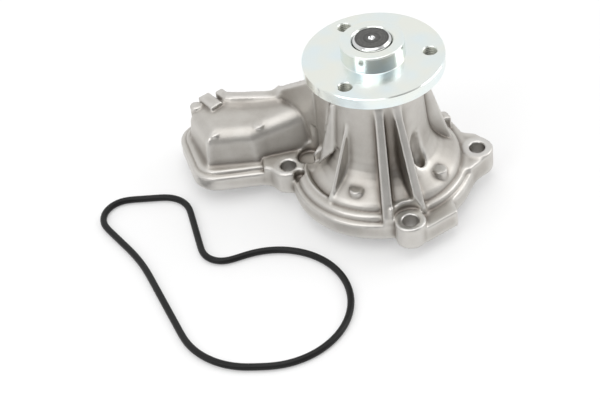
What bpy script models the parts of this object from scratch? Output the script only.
"""Belt-driven coolant pump for a car engine, with its loose housing gasket.

The pump's axis is Z. The origin lies on that axis, in the mounting face that bolts to the engine.
+Z points to the pulley flange, and the side chamber points to -X. Lengths below are in millimetres
and degrees; the mesh helpers turn millimetres into Blender's metres.
"""

import math

import bmesh
import bpy
from mathutils import Matrix, Vector

MM = 0.001
GAP = 0.3
EPS = 0.00001
FINE_STEP = 0.04
INNER_SEGMENTS = 32
RACE_SEGMENTS = 36

# Pulley flange
FLANGE_TOP = 66.0
FLANGE_RADIUS = 29.0
FLANGE_THICKNESS = 5.35
HUB_RADIUS = 13.05
HUB_TOP = FLANGE_TOP + 7.6
PULLEY_BOLT_CIRCLE = 22.8
PULLEY_BOLT_ANGLES = (-6.0, 114.0, 234.0)
PULLEY_THREAD_RADIUS = 2.6
PULLEY_CHAMFER_RADIUS = 3.4

# Shaft and its ball bearing
SHAFT_RADIUS = 7.96
SHAFT_TOP = 74.4
SHAFT_BOTTOM = 0.0
BEARING_RADIUS = 15.0
BEARING_BORE = 10.9
BEARING_BOTTOM = 23.0
BEARING_TOP = 57.5
BALL_RADIUS = 2.75
BALL_PITCH_RADIUS = 10.6
BALL_GROOVE_RADIUS = 3.1
BALLS_PER_ROW = 8
BALL_ROWS = {"lower": 30.5, "upper": 50.0}
CAGE_BAND = 1.3
CAGE_HALF_HEIGHT = 3.9

# Shaft seal
SEAL_BORE = 18.55
SEAL_SEAT = 20.2
SEAL_CUP_RADIUS = 18.2
SEAL_LIP_RADIUS = 20.0
CARBON_OUTER = 15.6
CARBON_INNER = 12.2
CARBON_FACE = 7.0
CARBON_HEIGHT = 4.4
MATING_RING_OUTER = 16.2
MATING_RING_INNER = 11.9
MATING_RING_BOTTOM = 4.4
BOOT_BOTTOM = 3.0
BELLOWS_INNER = 10.9

# Impeller
IMPELLER_RADIUS = 28.0
IMPELLER_BOTTOM = -6.0
IMPELLER_DISC_TOP = 2.4
IMPELLER_DISC_THICKNESS = 1.6
VANE_COUNT = 7
VANE_THICKNESS = 1.6
IMPELLER_HUB_RADIUS = 10.8
IMPELLER_HUB_TOP = 6.4
IMPELLER_HUB_BOTTOM = -1.2

# Housing
MAIN_RADIUS = 38.4
BASE_THICKNESS = 7.0
NECK_TOP = 58.0
CAVITY_RADIUS = 30.4
BOLT_HOLE_RADIUS = 3.3
SPOT_FACE_Z = 10.5
ROOF_Z = 23.6

# Gasket and its groove
GASKET_RADIUS = 1.45
GROOVE_HALF_WIDTH = 1.85
GROOVE_DEPTH = 2.4

# Each circle is (x, y, signed radius): positive is passed anticlockwise, negative clockwise.
LOOSE_GASKET = (
    (-70.9, -23.9, -9.8),
    (-97.0, -1.4, 12.7),
    (-111.6, 2.0, 10.7),
    (-184.0, -64.2, -85.8),
    (-60.1, -62.7, 32.0),
    (-54.2, -63.1, 32.4),
)
GASKET_LOOP = (
    (0.0, 0.0, 33.2),
    (-74.2, 34.8, 8.6),
    (-69.5, 17.8, 9.4),
    (-40.4, 4.7, -7.2),
)
BASE_LOOP = (
    (0.0, 0.0, MAIN_RADIUS),
    (-73.6, 34.4, 12.0),
    (-69.6, 17.3, 12.2),
    (-47.2, -3.8, -8.4),
)

# Housing bolts: name, x, y, boss radius, boss top
BOLTS = (
    ("left", -39.8, 4.1, 6.6, SPOT_FACE_Z),
    ("front", 6.5, -40.0, 6.4, SPOT_FACE_Z),
    ("right", 40.6, -0.6, 6.6, SPOT_FACE_Z),
    ("back", 3.0, 41.0, 6.4, SPOT_FACE_Z),
    ("middle", -31.0, 44.6, 6.4, SPOT_FACE_Z),
    ("chamber", -62.0, 51.0, 6.4, SPOT_FACE_Z),
)

# Ribs on the neck: name, azimuth, thickness, (radius, z) at the top, (radius, z) at the foot
RIBS = (
    ("front_left", -93.4, 4.4, (19.4, 51.0), (38.2, 9.8)),
    ("front_right", -71.4, 4.2, (19.4, 52.0), (37.2, 11.4)),
    ("left_thin", -137.0, 2.0, (19.6, 42.5), (34.8, 9.2)),
    ("right_thin", 8.0, 2.6, (19.6, 52.0), (30.8, 13.0)),
    ("right_back", 29.0, 4.0, (19.6, 53.0), (34.0, 16.2)),
    ("back", 88.0, 4.0, (19.4, 51.0), (38.0, 9.6)),
    ("back_left", 118.0, 4.0, (19.4, 50.0), (37.0, 10.0)),
)
# Each pad is (azimuth, radius, top).
EJECTOR_PADS = ((-118.3, 28.0, 17.5), (-41.0, 29.4, 17.8))
EJECTOR_PAD_RADIUS = 3.0

COLOURS = {
    "cast_aluminium": ((0.56, 0.54, 0.50), 0.45, 1.0),
    "zinc_steel": ((0.80, 0.84, 0.83), 0.25, 1.0),
    "shaft_steel": ((0.32, 0.31, 0.30), 0.35, 1.0),
    "bearing_steel": ((0.62, 0.63, 0.65), 0.2, 1.0),
    "cage_nylon": ((0.72, 0.66, 0.50), 0.5, 0.0),
    "rubber": ((0.015, 0.015, 0.016), 0.35, 0.0),
    "brass": ((0.78, 0.60, 0.30), 0.3, 1.0),
    "carbon": ((0.05, 0.05, 0.055), 0.4, 0.0),
    "ceramic": ((0.85, 0.84, 0.80), 0.3, 0.0),
    "stamped_steel": ((0.60, 0.60, 0.58), 0.35, 1.0),
}


def clear_scene():
    for obj in list(bpy.data.objects):
        bpy.data.objects.remove(obj, do_unlink=True)


def new_collection(name):
    collection = bpy.data.collections.new(name)
    bpy.context.scene.collection.children.link(collection)
    return collection


def new_material(name):
    colour, roughness, metallic = COLOURS[name]
    material = bpy.data.materials.new(name)
    material.use_nodes = True
    shader = material.node_tree.nodes["Principled BSDF"]
    shader.inputs["Base Color"].default_value = (*colour, 1.0)
    shader.inputs["Roughness"].default_value = roughness
    shader.inputs["Metallic"].default_value = metallic
    return material


def polar(radius, degrees, z=0.0):
    angle = math.radians(degrees)
    return Vector((radius * math.cos(angle), radius * math.sin(angle), z))


def new_object(name, mesh, collection):
    obj = bpy.data.objects.new(name, mesh)
    collection.objects.link(obj)
    return obj


def frozen(obj):
    """Replace an object by a plain mesh of its evaluated shape, with loose caps welded."""
    graph = bpy.context.evaluated_depsgraph_get()
    graph.update()
    mesh = bpy.data.meshes.new_from_object(obj.evaluated_get(graph))
    shape = bmesh.new()
    shape.from_mesh(mesh)
    bmesh.ops.remove_doubles(shape, verts=shape.verts, dist=EPS)
    bmesh.ops.recalc_face_normals(shape, faces=shape.faces)
    shape.to_mesh(mesh)
    shape.free()
    name, matrix, home = obj.name, obj.matrix_world.copy(), obj.users_collection[0]
    bpy.data.objects.remove(obj, do_unlink=True)
    solid = new_object(name, mesh, home)
    solid.matrix_world = matrix
    return solid


def turned(name, profile, segments, collection, closed=False):
    """A turned shape. The profile's (radius, z) points run down its outer side."""
    mesh = bpy.data.meshes.new(name)
    points = [(r * MM, 0.0, z * MM) for r, z in profile]
    edges = [(i, i + 1) for i in range(len(points) - 1)]
    if closed:
        edges.append((len(points) - 1, 0))
    mesh.from_pydata(points, edges, [])
    obj = new_object(name, mesh, collection)
    screw = obj.modifiers.new("Screw", "SCREW")
    screw.steps = segments
    screw.render_steps = segments
    screw.use_merge_vertices = True
    screw.merge_threshold = EPS
    return frozen(obj)


def plate(name, outlines, bottom, top, collection):
    """A flat plate between two heights; outlines after the first are holes."""
    curve = bpy.data.curves.new(name, "CURVE")
    curve.dimensions = "2D"
    curve.fill_mode = "BOTH"
    curve.extrude = (top - bottom) / 2 * MM
    for outline in outlines:
        spline = curve.splines.new("POLY")
        spline.points.add(len(outline) - 1)
        for point, (x, y) in zip(spline.points, outline):
            point.co = (x * MM, y * MM, 0.0, 1.0)
        spline.use_cyclic_u = True
    obj = new_object(name, curve, collection)
    obj.location.z = (top + bottom) / 2 * MM
    bpy.context.view_layer.update()
    return frozen(obj)


def loft(name, outlines, collection):
    """A solid through rings of (x, y, z) points, with the same number of points in each."""
    shape = bmesh.new()
    rings = [[shape.verts.new(Vector(p) * MM) for p in outline] for outline in outlines]
    count = len(rings[0])
    for lower, upper in zip(rings, rings[1:]):
        for i in range(count):
            j = (i + 1) % count
            shape.faces.new((lower[i], lower[j], upper[j], upper[i]))
    shape.faces.new(list(reversed(rings[0])))
    shape.faces.new(rings[-1])
    bmesh.ops.triangulate(shape, faces=shape.faces)
    bmesh.ops.recalc_face_normals(shape, faces=shape.faces)
    mesh = bpy.data.meshes.new(name)
    shape.to_mesh(mesh)
    shape.free()
    return new_object(name, mesh, collection)


def cylinder(name, x, y, radius, bottom, top, collection, segments=32, top_radius=None):
    shape = bmesh.new()
    upper = radius if top_radius is None else top_radius
    bmesh.ops.create_cone(
        shape,
        cap_ends=True,
        segments=segments,
        radius1=radius * MM,
        radius2=upper * MM,
        depth=(top - bottom) * MM,
    )
    mesh = bpy.data.meshes.new(name)
    shape.to_mesh(mesh)
    shape.free()
    obj = new_object(name, mesh, collection)
    obj.location = Vector((x, y, (top + bottom) / 2)) * MM
    return obj


def fin(name, azimuth, thickness, section, collection):
    """An upright wall through the axis; section holds its (radius, z) corners."""
    obj = plate(name, [section], -thickness / 2, thickness / 2, collection)
    obj.matrix_world = (
        Matrix.Rotation(math.radians(azimuth), 4, "Z")
        @ Matrix.Rotation(math.radians(90.0), 4, "X")
    )
    return obj


def boolean(target, operand, operation, solver):
    modifier = target.modifiers.new(operand.name, "BOOLEAN")
    modifier.operation = operation
    modifier.solver = solver
    modifier.object = operand
    operand.hide_render = True
    operand.display_type = "WIRE"


def join(target, *operands):
    for operand in operands:
        boolean(target, operand, "UNION", "EXACT")


def cut(target, *operands, solver="EXACT"):
    for operand in operands:
        boolean(target, operand, "DIFFERENCE", solver)


def merge_flat_faces(obj):
    """Dissolve the edges that the Booleans leave inside flat faces."""
    dissolve = obj.modifiers.new("Merge flat faces", "DECIMATE")
    dissolve.decimate_type = "DISSOLVE"
    dissolve.angle_limit = math.radians(0.2)


def finish(obj, material):
    """Give a piece its material and smooth shading with sharp edges kept."""
    obj.data.materials.clear()
    obj.data.materials.append(material)
    obj.data.shade_smooth()
    obj.data.set_sharp_from_angle(angle=math.radians(35.0))


def belt(circles, grow=0.0, step=10.0):
    """The closed outline round a row of circles, joined by their common tangents."""
    grown = [(Vector((x, y)), r + grow) for x, y, r in circles]
    count = len(grown)
    headings = []
    for i in range(count):
        (c1, r1), (c2, r2) = grown[i], grown[(i + 1) % count]
        span = c2 - c1
        headings.append(math.atan2(span.y, span.x) - math.asin((r2 - r1) / span.length))
    outline = []
    for i, (centre, radius) in enumerate(grown):
        start, end = headings[i - 1], headings[i]
        turn = (end - start) % (2 * math.pi)
        if radius < 0:
            turn -= 2 * math.pi
        pieces = max(2, math.ceil(abs(math.degrees(turn)) / step))
        for k in range(pieces + 1):
            heading = start + turn * k / pieces
            normal = Vector((math.sin(heading), -math.cos(heading)))
            outline.append(centre + normal * radius)
    return [(p.x, p.y) for p in outline]


def bell_profile():
    """The housing's outer turned shape, from the neck's top down to the mounting face."""
    return [
        (0.0, NECK_TOP),
        (17.8, NECK_TOP),
        (18.4, NECK_TOP - 0.8),
        (19.0, 48.0),
        (19.7, 37.0),
        (20.3, 29.0),
        (21.0, 25.4),
        (22.2, 22.4),
        (24.0, 19.8),
        (26.4, 17.6),
        (29.4, 15.6),
        (32.0, 13.8),
        (33.2, 12.4),
        (33.7, 10.7),
        (35.6, 10.2),
        (36.3, 9.2),
        (36.6, BASE_THICKNESS + 0.4),
        (MAIN_RADIUS, BASE_THICKNESS - 0.2),
        (MAIN_RADIUS, 0.0),
        (0.0, 0.0),
    ]


def cavity_profile():
    """The turned hollow for the bearing, the shaft seal and the impeller."""
    bearing_bore = BEARING_RADIUS + GAP
    return [
        (0.0, NECK_TOP + 1.0),
        (bearing_bore, NECK_TOP + 1.0),
        (bearing_bore, SEAL_SEAT),
        (SEAL_BORE, SEAL_SEAT),
        (SEAL_BORE, 14.2),
        (22.0, 12.8),
        (25.6, 9.0),
        (28.2, 6.4),
        (30.0, 4.6),
        (CAVITY_RADIUS, 3.4),
        (CAVITY_RADIUS, -1.0),
        (0.0, -1.0),
    ]


def chamber_block(guides):
    """The side chamber's outer block; its roof rises towards the neck."""
    low = BASE_THICKNESS - 1.0
    lower = [
        (-74.5, 11.5, low),
        (-52.0, 9.8, low),
        (-48.8, 10.4, low),
        (-30.4, 13.6, low),
        (-20.0, 14.0, low),
        (-20.0, 37.0, low),
        (-45.0, 40.6, low),
        (-68.0, 43.6, low),
        (-79.0, 41.0, low),
        (-81.0, 33.0, low),
    ]
    upper = [
        (-72.6, 14.6, ROOF_Z),
        (-54.8, 13.2, ROOF_Z),
        (-46.2, 15.4, ROOF_Z + 1.6),
        (-30.0, 19.0, ROOF_Z + 4.4),
        (-20.0, 18.0, ROOF_Z + 5.5),
        (-20.0, 33.0, ROOF_Z + 5.5),
        (-42.4, 35.4, ROOF_Z + 2.2),
        (-63.4, 41.2, ROOF_Z),
        (-76.2, 40.4, ROOF_Z),
        (-79.2, 32.4, ROOF_Z),
    ]
    return loft("chamber_block", [lower, upper], guides)


def neck_wedge(guides):
    """The solid that ties the chamber to the neck."""
    low = BASE_THICKNESS - 1.0
    lower = [
        (-14.0, -6.0, low),
        (-28.6, 1.2, low),
        (-26.6, 9.4, low),
        (-27.0, 20.0, low),
        (-26.0, 36.0, low),
        (-8.0, 30.0, low),
    ]
    upper = [
        (-10.0, -6.0, 49.0),
        (-19.6, 1.2, 49.0),
        (-24.0, 7.4, 49.0),
        (-25.6, 9.8, 48.6),
        (-17.0, 10.6, 49.0),
        (-8.0, 9.0, 49.0),
    ]
    return loft("neck_wedge", [lower, upper], guides)


def chamber_web(guides):
    """The upright wall from the neck to the chamber's back, sloping down from the neck."""
    low = BASE_THICKNESS - 1.0
    lower = [(-26.4, 9.2, low), (-42.6, 33.0, low), (-40.6, 34.6, low), (-24.2, 10.8, low)]
    upper = [(-26.2, 9.4, 47.0), (-42.4, 33.2, 27.4), (-40.8, 34.4, 27.4), (-24.4, 10.6, 47.4)]
    return loft("chamber_web", [lower, upper], guides)


def roof_crest(guides):
    """The low wall along the roof's back edge."""
    low = BASE_THICKNESS - 1.0
    top = ROOF_Z + 3.4
    outline = [(-63.4, 37.6), (-61.0, 36.6), (-40.6, 31.4), (-39.0, 33.8), (-61.0, 39.6), (-63.4, 40.4)]
    lower = [(x, y, low) for x, y in outline]
    upper = [(x, y, top + 0.05 * (x + 63.4)) for x, y in outline]
    return loft("roof_crest", [lower, upper], guides)


def left_face(guides):
    """The proud triangular face at the neck's left, which ends in a slanting lower rim."""
    lower = [(-12.0, 4.0, 11.0), (-28.3, 2.2, 10.6), (-20.2, -4.7, 22.0), (-12.0, -4.0, 22.0)]
    upper = [(-10.0, 0.0, 48.5), (-19.9, -6.0, 48.5), (-18.9, -7.4, 48.5), (-12.0, -6.0, 48.5)]
    return loft("left_face", [lower, upper], guides)


def left_dish(guides):
    """The hollow below the left face, where the dome's foot is cut back towards the neck."""
    profile = [
        (20.6, 26.0),
        (21.6, 19.5),
        (24.2, 14.6),
        (27.2, 11.2),
        (30.0, 9.3),
        (37.0, 9.0),
        (44.0, 26.0),
    ]
    sections = []
    for azimuth in range(-178, -138, 6):
        sections.append([tuple(polar(r, azimuth, z)) for r, z in profile])
    return loft("left_dish", sections, guides)


def base_additions(guides):
    """Flat shapes round the mounting flange: ledges, the sharp lug and the bolt lands."""
    ledge = plate("chamber_ledge", [belt(BASE_LOOP, -2.6)], 0.0, BASE_THICKNESS + 1.6, guides)
    lug_outline = [
        (0.0, -30.0),
        (12.6, -43.6),
        (26.6, -35.8),
        (25.9, -28.4),
        (36.0, -14.0),
        (20.0, 0.0),
    ]
    lug = plate("lug", [lug_outline], 0.0, 8.0, guides)
    right_outline = [
        (20.0, -16.0),
        (35.8, -13.2),
        (44.6, -5.8),
        (47.0, -0.6),
        (44.6, 5.6),
        (41.6, 9.4),
        (36.0, 11.6),
        (33.0, 20.0),
        (20.0, 20.0),
    ]
    right_land = plate("right_land", [right_outline], 0.0, SPOT_FACE_Z - 0.4, guides)
    left_outline = [
        (-24.0, -6.0),
        (-36.0, -1.6),
        (-44.0, -1.0),
        (-47.6, 3.0),
        (-50.4, 4.6),
        (-50.4, 12.0),
        (-24.0, 18.0),
    ]
    left_land = plate("left_land", [left_outline], 0.0, SPOT_FACE_Z - FINE_STEP, guides)
    middle_outline = [(-20.0, 30.0), (-23.0, 44.0), (-31.0, 51.0), (-38.6, 45.0), (-40.0, 34.0)]
    middle_land = plate("middle_land", [middle_outline], 0.0, BASE_THICKNESS, guides)
    chamber_outline = [(-52.0, 42.0), (-56.6, 54.0), (-67.0, 55.0), (-73.0, 44.0)]
    chamber_land = plate("chamber_land", [chamber_outline], 0.0, BASE_THICKNESS, guides)
    pad = plate(
        "back_right_pad",
        [[(26.0, 10.0), (34.4, 12.6), (33.0, 18.6), (24.0, 20.0)]],
        4.0,
        16.0,
        guides,
    )
    shelf_outline = [(-1.0, -20.0), (-1.0, -37.4), (8.7, -36.9), (11.4, -31.0), (7.0, -20.0)]
    shelf = plate("front_shelf", [shelf_outline], 4.0, 14.2, guides)
    return ledge, lug, right_land, left_land, middle_land, chamber_land, pad, shelf


def housing_ribs(guides):
    ribs = []
    for name, azimuth, thickness, top, foot in RIBS:
        section = [(14.0, 4.0), (foot[0], 4.0), foot, top, (14.0, top[1] + 1.0)]
        ribs.append(fin("rib_" + name, azimuth, thickness, section, guides))
    return ribs


def ejector_pads(guides):
    pads = []
    for index, (azimuth, radius, top) in enumerate(EJECTOR_PADS):
        x, y, _ = polar(radius, azimuth)
        pads.append(cylinder(f"ejector_pad_{index}", x, y, EJECTOR_PAD_RADIUS, 8.0, top, guides, 20))
    return pads


def bolt_bosses(guides):
    bosses = []
    for name, x, y, radius, top in BOLTS:
        bosses.append(cylinder("boss_" + name, x, y, radius, 0.0, top, guides, 28))
    return bosses


def bolt_cutters(guides):
    """Through holes, each with a small chamfer at the bolt head's side."""
    cutters = []
    for name, x, y, _, top in BOLTS:
        cutters.append(cylinder("hole_" + name, x, y, BOLT_HOLE_RADIUS, -1.0, 30.0, guides, 20))
        cutters.append(
            cylinder(
                "chamfer_" + name,
                x,
                y,
                BOLT_HOLE_RADIUS - 0.4,
                top - 1.0,
                top + 0.6,
                guides,
                20,
                BOLT_HOLE_RADIUS + 1.2,
            )
        )
        cutters.append(cylinder("clearance_" + name, x, y, 7.4, top + FINE_STEP, 26.0, guides, 24))
    return cutters


def chamber_hollow(guides):
    """The chamber's inside, open at the mounting face and joined to the impeller's cavity."""
    lower = [
        (-72.0, 13.6, -1.0),
        (-52.0, 14.0, -1.0),
        (-41.0, 17.2, -1.0),
        (-30.0, 13.6, -1.0),
        (-14.0, 16.0, -1.0),
        (-14.0, 30.0, -1.0),
        (-45.0, 33.4, -1.0),
        (-68.0, 38.8, -1.0),
        (-76.0, 36.6, -1.0),
    ]
    upper = [
        (-69.6, 18.6, ROOF_Z - 4.0),
        (-55.0, 19.0, ROOF_Z - 4.0),
        (-45.0, 22.2, ROOF_Z - 4.0),
        (-33.0, 22.0, ROOF_Z - 6.0),
        (-20.0, 20.0, 9.0),
        (-20.0, 26.0, 9.0),
        (-42.0, 29.6, ROOF_Z - 4.0),
        (-66.0, 35.8, ROOF_Z - 4.0),
        (-73.4, 33.2, ROOF_Z - 4.0),
    ]
    return loft("chamber_hollow", [lower, upper], guides)


def weep_drilling(guides):
    """The drain from the space between seal and bearing to the outside of the neck."""
    drill = cylinder("weep_drilling", 0.0, 0.0, 1.5, -7.0, 7.0, guides, 16)
    azimuth = math.radians(-47.0)
    drill.matrix_world = (
        Matrix.Translation(polar(19.0, -47.0, 21.6) * MM)
        @ Matrix.Rotation(azimuth, 4, "Z")
        @ Matrix.Rotation(math.radians(90.0), 4, "Y")
    )
    return drill


def drop_pocket(guides):
    """The cast hollow that runs down the neck beside the right front rib."""
    centre = polar(21.9, -48.5)
    return cylinder("drop_pocket", centre.x, centre.y, 3.2, 19.0, 37.0, guides, 24, 2.0)


def build_housing(parts, guides):
    housing = turned("housing", bell_profile(), 60, parts)
    cut(housing, left_dish(guides))
    base = plate("base_plate", [belt(BASE_LOOP)], 0.0, BASE_THICKNESS, guides)
    join(housing, base, *base_additions(guides))
    for shape in (chamber_block, neck_wedge, left_face, chamber_web, roof_crest):
        join(housing, shape(guides))
    join(housing, *housing_ribs(guides), *bolt_bosses(guides), *ejector_pads(guides))
    scallop = cylinder("scallop", -31.0, 8.8, 5.0, SPOT_FACE_Z - 1.6, 24.0, guides, 24)
    notch = cylinder("scallop_notch", -32.9, -0.4, 2.3, 5.5, 24.0, guides, 16)
    groove = plate(
        "gasket_groove",
        [belt(GASKET_LOOP, GROOVE_HALF_WIDTH), belt(GASKET_LOOP, -GROOVE_HALF_WIDTH)],
        -1.0,
        GROOVE_DEPTH,
        guides,
    )
    hollows = [turned("main_cavity", cavity_profile(), 60, guides), chamber_hollow(guides)]
    details = [scallop, notch, *bolt_cutters(guides), weep_drilling(guides)]
    details += [drop_pocket(guides), groove]
    # The exact solver leaves slits where this many cuts meet; the manifold one doesn't.
    cut(housing, *hollows, *details, solver="MANIFOLD")
    merge_flat_faces(housing)
    return housing


def build_pulley_flange(parts, guides):
    bottom = FLANGE_TOP - FLANGE_THICKNESS
    bore = SHAFT_RADIUS + GAP
    profile = [
        (HUB_RADIUS - 0.8, HUB_TOP),
        (HUB_RADIUS, HUB_TOP - 0.8),
        (HUB_RADIUS, FLANGE_TOP + 0.8),
        (HUB_RADIUS + 0.8, FLANGE_TOP),
        (FLANGE_RADIUS - 0.4, FLANGE_TOP),
        (FLANGE_RADIUS, FLANGE_TOP - 0.4),
        (FLANGE_RADIUS, bottom + 0.4),
        (FLANGE_RADIUS - 0.4, bottom),
        (HUB_RADIUS, bottom),
        (HUB_RADIUS - 0.4, bottom - 1.4),
        (bore, bottom - 1.4),
        (bore, HUB_TOP),
    ]
    flange = turned("pulley_flange", profile, 56, parts, closed=True)
    for index, azimuth in enumerate(PULLEY_BOLT_ANGLES):
        spot = polar(PULLEY_BOLT_CIRCLE, azimuth)
        hole = cylinder(
            f"pulley_hole_{index}",
            spot.x,
            spot.y,
            PULLEY_THREAD_RADIUS,
            bottom - 1.0,
            FLANGE_TOP + 1.0,
            guides,
            20,
        )
        chamfer = cylinder(
            f"pulley_chamfer_{index}",
            spot.x,
            spot.y,
            PULLEY_THREAD_RADIUS - 0.6,
            FLANGE_TOP - 1.4,
            FLANGE_TOP + 0.6,
            guides,
            20,
            PULLEY_CHAMFER_RADIUS + 0.6,
        )
        cut(flange, hole, chamfer)
    return flange


def race_arc(row_z, side):
    """Points down a ball groove; side is -1 on the shaft and 1 on the outer ring."""
    wall = SHAFT_RADIUS if side < 0 else BEARING_BORE + 1.2
    reach = abs(BALL_PITCH_RADIUS - wall) / BALL_GROOVE_RADIUS
    half = math.acos(reach)
    points = []
    for k in range(5):
        angle = half * (1 - k / 2)
        r = BALL_PITCH_RADIUS + side * BALL_GROOVE_RADIUS * math.cos(angle)
        points.append((r, row_z + BALL_GROOVE_RADIUS * math.sin(angle)))
    return points


def build_shaft(parts):
    profile = [(0.0, SHAFT_TOP), (SHAFT_RADIUS - 1.1, SHAFT_TOP), (SHAFT_RADIUS, SHAFT_TOP - 1.2)]
    for row in ("upper", "lower"):
        profile += race_arc(BALL_ROWS[row], -1)
    profile += [
        (SHAFT_RADIUS, SHAFT_BOTTOM + 0.8),
        (SHAFT_RADIUS - 0.8, SHAFT_BOTTOM),
        (0.0, SHAFT_BOTTOM),
    ]
    return turned("shaft", profile, 40, parts)


def build_outer_ring(parts):
    inner = BEARING_BORE + 1.2
    profile = [
        (BEARING_RADIUS - 0.6, BEARING_TOP),
        (BEARING_RADIUS, BEARING_TOP - 0.6),
        (BEARING_RADIUS, BEARING_BOTTOM + 0.6),
        (BEARING_RADIUS - 0.6, BEARING_BOTTOM),
        (inner, BEARING_BOTTOM),
    ]
    profile += list(reversed(race_arc(BALL_ROWS["lower"], 1)))
    profile += list(reversed(race_arc(BALL_ROWS["upper"], 1)))
    profile.append((inner, BEARING_TOP))
    return turned("bearing_outer_ring", profile, RACE_SEGMENTS, parts, closed=True)


def build_cage(row, parts, guides):
    z = BALL_ROWS[row]
    profile = [
        (BALL_PITCH_RADIUS + CAGE_BAND, z + CAGE_HALF_HEIGHT),
        (BALL_PITCH_RADIUS + CAGE_BAND, z - CAGE_HALF_HEIGHT),
        (BALL_PITCH_RADIUS - CAGE_BAND, z - CAGE_HALF_HEIGHT),
        (BALL_PITCH_RADIUS - CAGE_BAND, z + CAGE_HALF_HEIGHT),
    ]
    cage = turned("bearing_cage_" + row, profile, INNER_SEGMENTS, parts, closed=True)
    for index in range(BALLS_PER_ROW):
        azimuth = 360.0 * index / BALLS_PER_ROW
        pocket = cylinder(
            f"pocket_{row}_{index}", 0.0, 0.0, BALL_RADIUS + 0.25, -4.0, 4.0, guides, 12
        )
        pocket.matrix_world = (
            Matrix.Translation(polar(BALL_PITCH_RADIUS, azimuth, z) * MM)
            @ Matrix.Rotation(math.radians(azimuth), 4, "Z")
            @ Matrix.Rotation(math.radians(90.0), 4, "Y")
        )
        cut(cage, pocket)
    return cage


def build_balls(row, parts):
    shape = bmesh.new()
    bmesh.ops.create_uvsphere(shape, u_segments=12, v_segments=8, radius=BALL_RADIUS * MM)
    mesh = bpy.data.meshes.new("ball_" + row)
    shape.to_mesh(mesh)
    shape.free()
    balls = []
    for index in range(BALLS_PER_ROW):
        ball = new_object(f"ball_{row}_{index + 1}", mesh, parts)
        spot = polar(BALL_PITCH_RADIUS, 360.0 * index / BALLS_PER_ROW, BALL_ROWS[row])
        ball.location = spot * MM
        balls.append(ball)
    return balls


def build_bearing_shield(name, bottom, parts):
    inner = BEARING_BORE + 1.2 - GAP
    lip = SHAFT_RADIUS + GAP
    profile = [
        (inner, bottom + 1.6),
        (inner, bottom),
        (lip + 1.0, bottom),
        (lip, bottom + 0.5),
        (lip, bottom + 1.1),
        (lip + 1.0, bottom + 1.6),
    ]
    return turned(name, profile, INNER_SEGMENTS, parts, closed=True)


def build_seal_cup(parts):
    """The pressed metal cup that holds the fixed half of the shaft seal."""
    top = SEAL_SEAT - GAP
    profile = [
        (SEAL_CUP_RADIUS - 0.8, top),
        (SEAL_CUP_RADIUS, top - 0.8),
        (SEAL_CUP_RADIUS, 13.6),
        (SEAL_LIP_RADIUS, 13.2),
        (SEAL_LIP_RADIUS, 12.4),
        (SEAL_CUP_RADIUS - 0.9, 12.6),
        (SEAL_CUP_RADIUS - 0.9, top - 1.0),
        (10.6, top - 1.0),
        (10.6, 13.0),
        (9.8, 13.0),
        (9.8, top),
    ]
    return turned("seal_cup", profile, INNER_SEGMENTS, parts, closed=True)


def build_carbon_ring(parts):
    top = CARBON_FACE + CARBON_HEIGHT
    profile = [
        (CARBON_OUTER, top),
        (CARBON_OUTER, CARBON_FACE + 1.4),
        (CARBON_OUTER - 0.9, CARBON_FACE + 1.0),
        (CARBON_OUTER - 0.9, CARBON_FACE),
        (CARBON_INNER, CARBON_FACE),
        (CARBON_INNER, top),
    ]
    return turned("seal_carbon_ring", profile, INNER_SEGMENTS, parts, closed=True)


def build_bellows(parts):
    """The rubber sleeve between the carbon ring and the cup, with one fold."""
    top = SEAL_SEAT - GAP - 1.0 - GAP
    bottom = CARBON_FACE + CARBON_HEIGHT + GAP
    rim = BELLOWS_INNER + 2.4
    wall = BELLOWS_INNER + 1.0
    profile = [
        (rim, top),
        (rim, top - 1.2),
        (wall, top - 1.4),
        (wall + 1.1, top - 3.4),
        (wall, bottom + 1.4),
        (rim, bottom + 1.0),
        (rim, bottom),
        (BELLOWS_INNER, bottom),
        (BELLOWS_INNER, bottom + 1.6),
        (BELLOWS_INNER + 1.1, top - 3.4),
        (BELLOWS_INNER, top - 1.4),
        (BELLOWS_INNER, top),
    ]
    return turned("seal_bellows", profile, INNER_SEGMENTS, parts, closed=True)


def build_spring(parts):
    """The coil that holds the carbon ring against the mating ring."""
    curve = bpy.data.curves.new("seal_spring", "CURVE")
    curve.dimensions = "3D"
    curve.bevel_depth = 0.6 * MM
    curve.bevel_resolution = 1
    curve.use_fill_caps = True
    turns = 2.5
    steps = 45
    bottom = CARBON_FACE + CARBON_HEIGHT + GAP + 0.7
    top = SEAL_SEAT - GAP - 1.0 - GAP - 0.7
    spline = curve.splines.new("POLY")
    spline.points.add(steps)
    for k, point in enumerate(spline.points):
        share = k / steps
        place = polar(15.2, 360.0 * turns * share, bottom + (top - bottom) * share) * MM
        point.co = (*place, 1.0)
    obj = new_object("seal_spring", curve, parts)
    bpy.context.view_layer.update()
    return frozen(obj)


def build_mating_ring(parts):
    top = CARBON_FACE - GAP
    profile = [
        (MATING_RING_OUTER, top),
        (MATING_RING_OUTER, MATING_RING_BOTTOM),
        (MATING_RING_INNER, MATING_RING_BOTTOM),
        (MATING_RING_INNER, top),
    ]
    return turned("mating_ring", profile, INNER_SEGMENTS, parts, closed=True)


def build_mating_boot(parts):
    """The rubber cup that holds the mating ring on the impeller."""
    lip = CARBON_FACE - 1.4
    floor = MATING_RING_BOTTOM - GAP
    inside = MATING_RING_INNER - GAP
    outside = MATING_RING_OUTER + GAP
    profile = [
        (outside, lip),
        (outside + 1.1, lip),
        (outside + 1.1, BOOT_BOTTOM),
        (IMPELLER_HUB_RADIUS + GAP, BOOT_BOTTOM),
        (IMPELLER_HUB_RADIUS + GAP, lip),
        (inside, lip),
        (inside, floor),
        (outside, floor),
    ]
    return turned("mating_ring_boot", profile, INNER_SEGMENTS, parts, closed=True)


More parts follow.
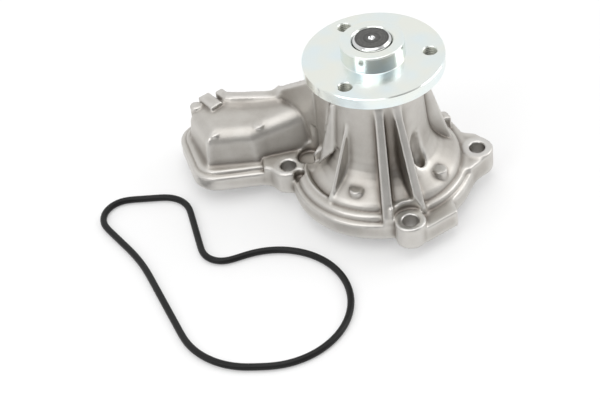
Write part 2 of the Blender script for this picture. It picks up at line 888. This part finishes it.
def vane_outline(azimuth):
    """One curved vane, from the hub's foot out to the rim and swept backwards."""
    inner_side, outer_side = [], []
    inner, outer, sweep = 13.4, IMPELLER_RADIUS - 0.6, 46.0
    for k in range(7):
        share = k / 6
        radius = inner + (outer - inner) * share
        angle = azimuth - sweep * share ** 1.3
        half = math.degrees(VANE_THICKNESS / 2 / radius) * 1.25
        inner_side.append(tuple(polar(radius, angle - half).xy))
        outer_side.append(tuple(polar(radius, angle + half).xy))
    return inner_side + list(reversed(outer_side))


def build_impeller(parts, guides):
    bore = SHAFT_RADIUS + GAP
    top = IMPELLER_DISC_TOP
    under = top - IMPELLER_DISC_THICKNESS
    profile = [
        (IMPELLER_HUB_RADIUS, IMPELLER_HUB_TOP),
        (IMPELLER_HUB_RADIUS, top),
        (IMPELLER_RADIUS, top),
        (IMPELLER_RADIUS, under),
        (IMPELLER_HUB_RADIUS + 1.2, under),
        (IMPELLER_HUB_RADIUS, under - 1.0),
        (IMPELLER_HUB_RADIUS, IMPELLER_HUB_BOTTOM + 0.5),
        (IMPELLER_HUB_RADIUS - 0.5, IMPELLER_HUB_BOTTOM),
        (bore, IMPELLER_HUB_BOTTOM),
        (bore, IMPELLER_HUB_TOP),
    ]
    impeller = turned("impeller", profile, 40, parts, closed=True)
    for index in range(VANE_COUNT):
        outline = vane_outline(360.0 * index / VANE_COUNT)
        vane = plate(f"vane_{index}", [outline], IMPELLER_BOTTOM, under + 0.6, guides)
        join(impeller, vane)
    return impeller


def build_gasket(parts):
    """The rubber ring, lying on the same level as the impeller's underside."""
    curve = bpy.data.curves.new("housing_gasket", "CURVE")
    curve.dimensions = "3D"
    curve.bevel_depth = GASKET_RADIUS * MM
    curve.bevel_resolution = 2
    path = belt(LOOSE_GASKET, step=12.0)
    level = IMPELLER_BOTTOM + GASKET_RADIUS
    spline = curve.splines.new("POLY")
    spline.points.add(len(path) - 1)
    for point, (x, y) in zip(spline.points, path):
        point.co = (x * MM, y * MM, level * MM, 1.0)
    spline.use_cyclic_u = True
    obj = new_object("housing_gasket", curve, parts)
    bpy.context.view_layer.update()
    return frozen(obj)


def main():
    clear_scene()
    parts = new_collection("water_pump")
    guides = new_collection("water_pump_cutters")
    looks = {name: new_material(name) for name in COLOURS}
    finish(build_housing(parts, guides), looks["cast_aluminium"])
    finish(build_pulley_flange(parts, guides), looks["zinc_steel"])
    finish(build_shaft(parts), looks["shaft_steel"])
    finish(build_outer_ring(parts), looks["bearing_steel"])
    for row in BALL_ROWS:
        finish(build_cage(row, parts, guides), looks["cage_nylon"])
        for ball in build_balls(row, parts):
            finish(ball, looks["bearing_steel"])
    finish(build_bearing_shield("bearing_seal_lower", BEARING_BOTTOM + 0.4, parts), looks["rubber"])
    finish(build_bearing_shield("bearing_seal_upper", BEARING_TOP - 2.0, parts), looks["rubber"])
    finish(build_seal_cup(parts), looks["brass"])
    finish(build_bellows(parts), looks["rubber"])
    finish(build_spring(parts), looks["bearing_steel"])
    finish(build_carbon_ring(parts), looks["carbon"])
    finish(build_mating_ring(parts), looks["ceramic"])
    finish(build_mating_boot(parts), looks["rubber"])
    finish(build_impeller(parts, guides), looks["stamped_steel"])
    finish(build_gasket(parts), looks["rubber"])


main()
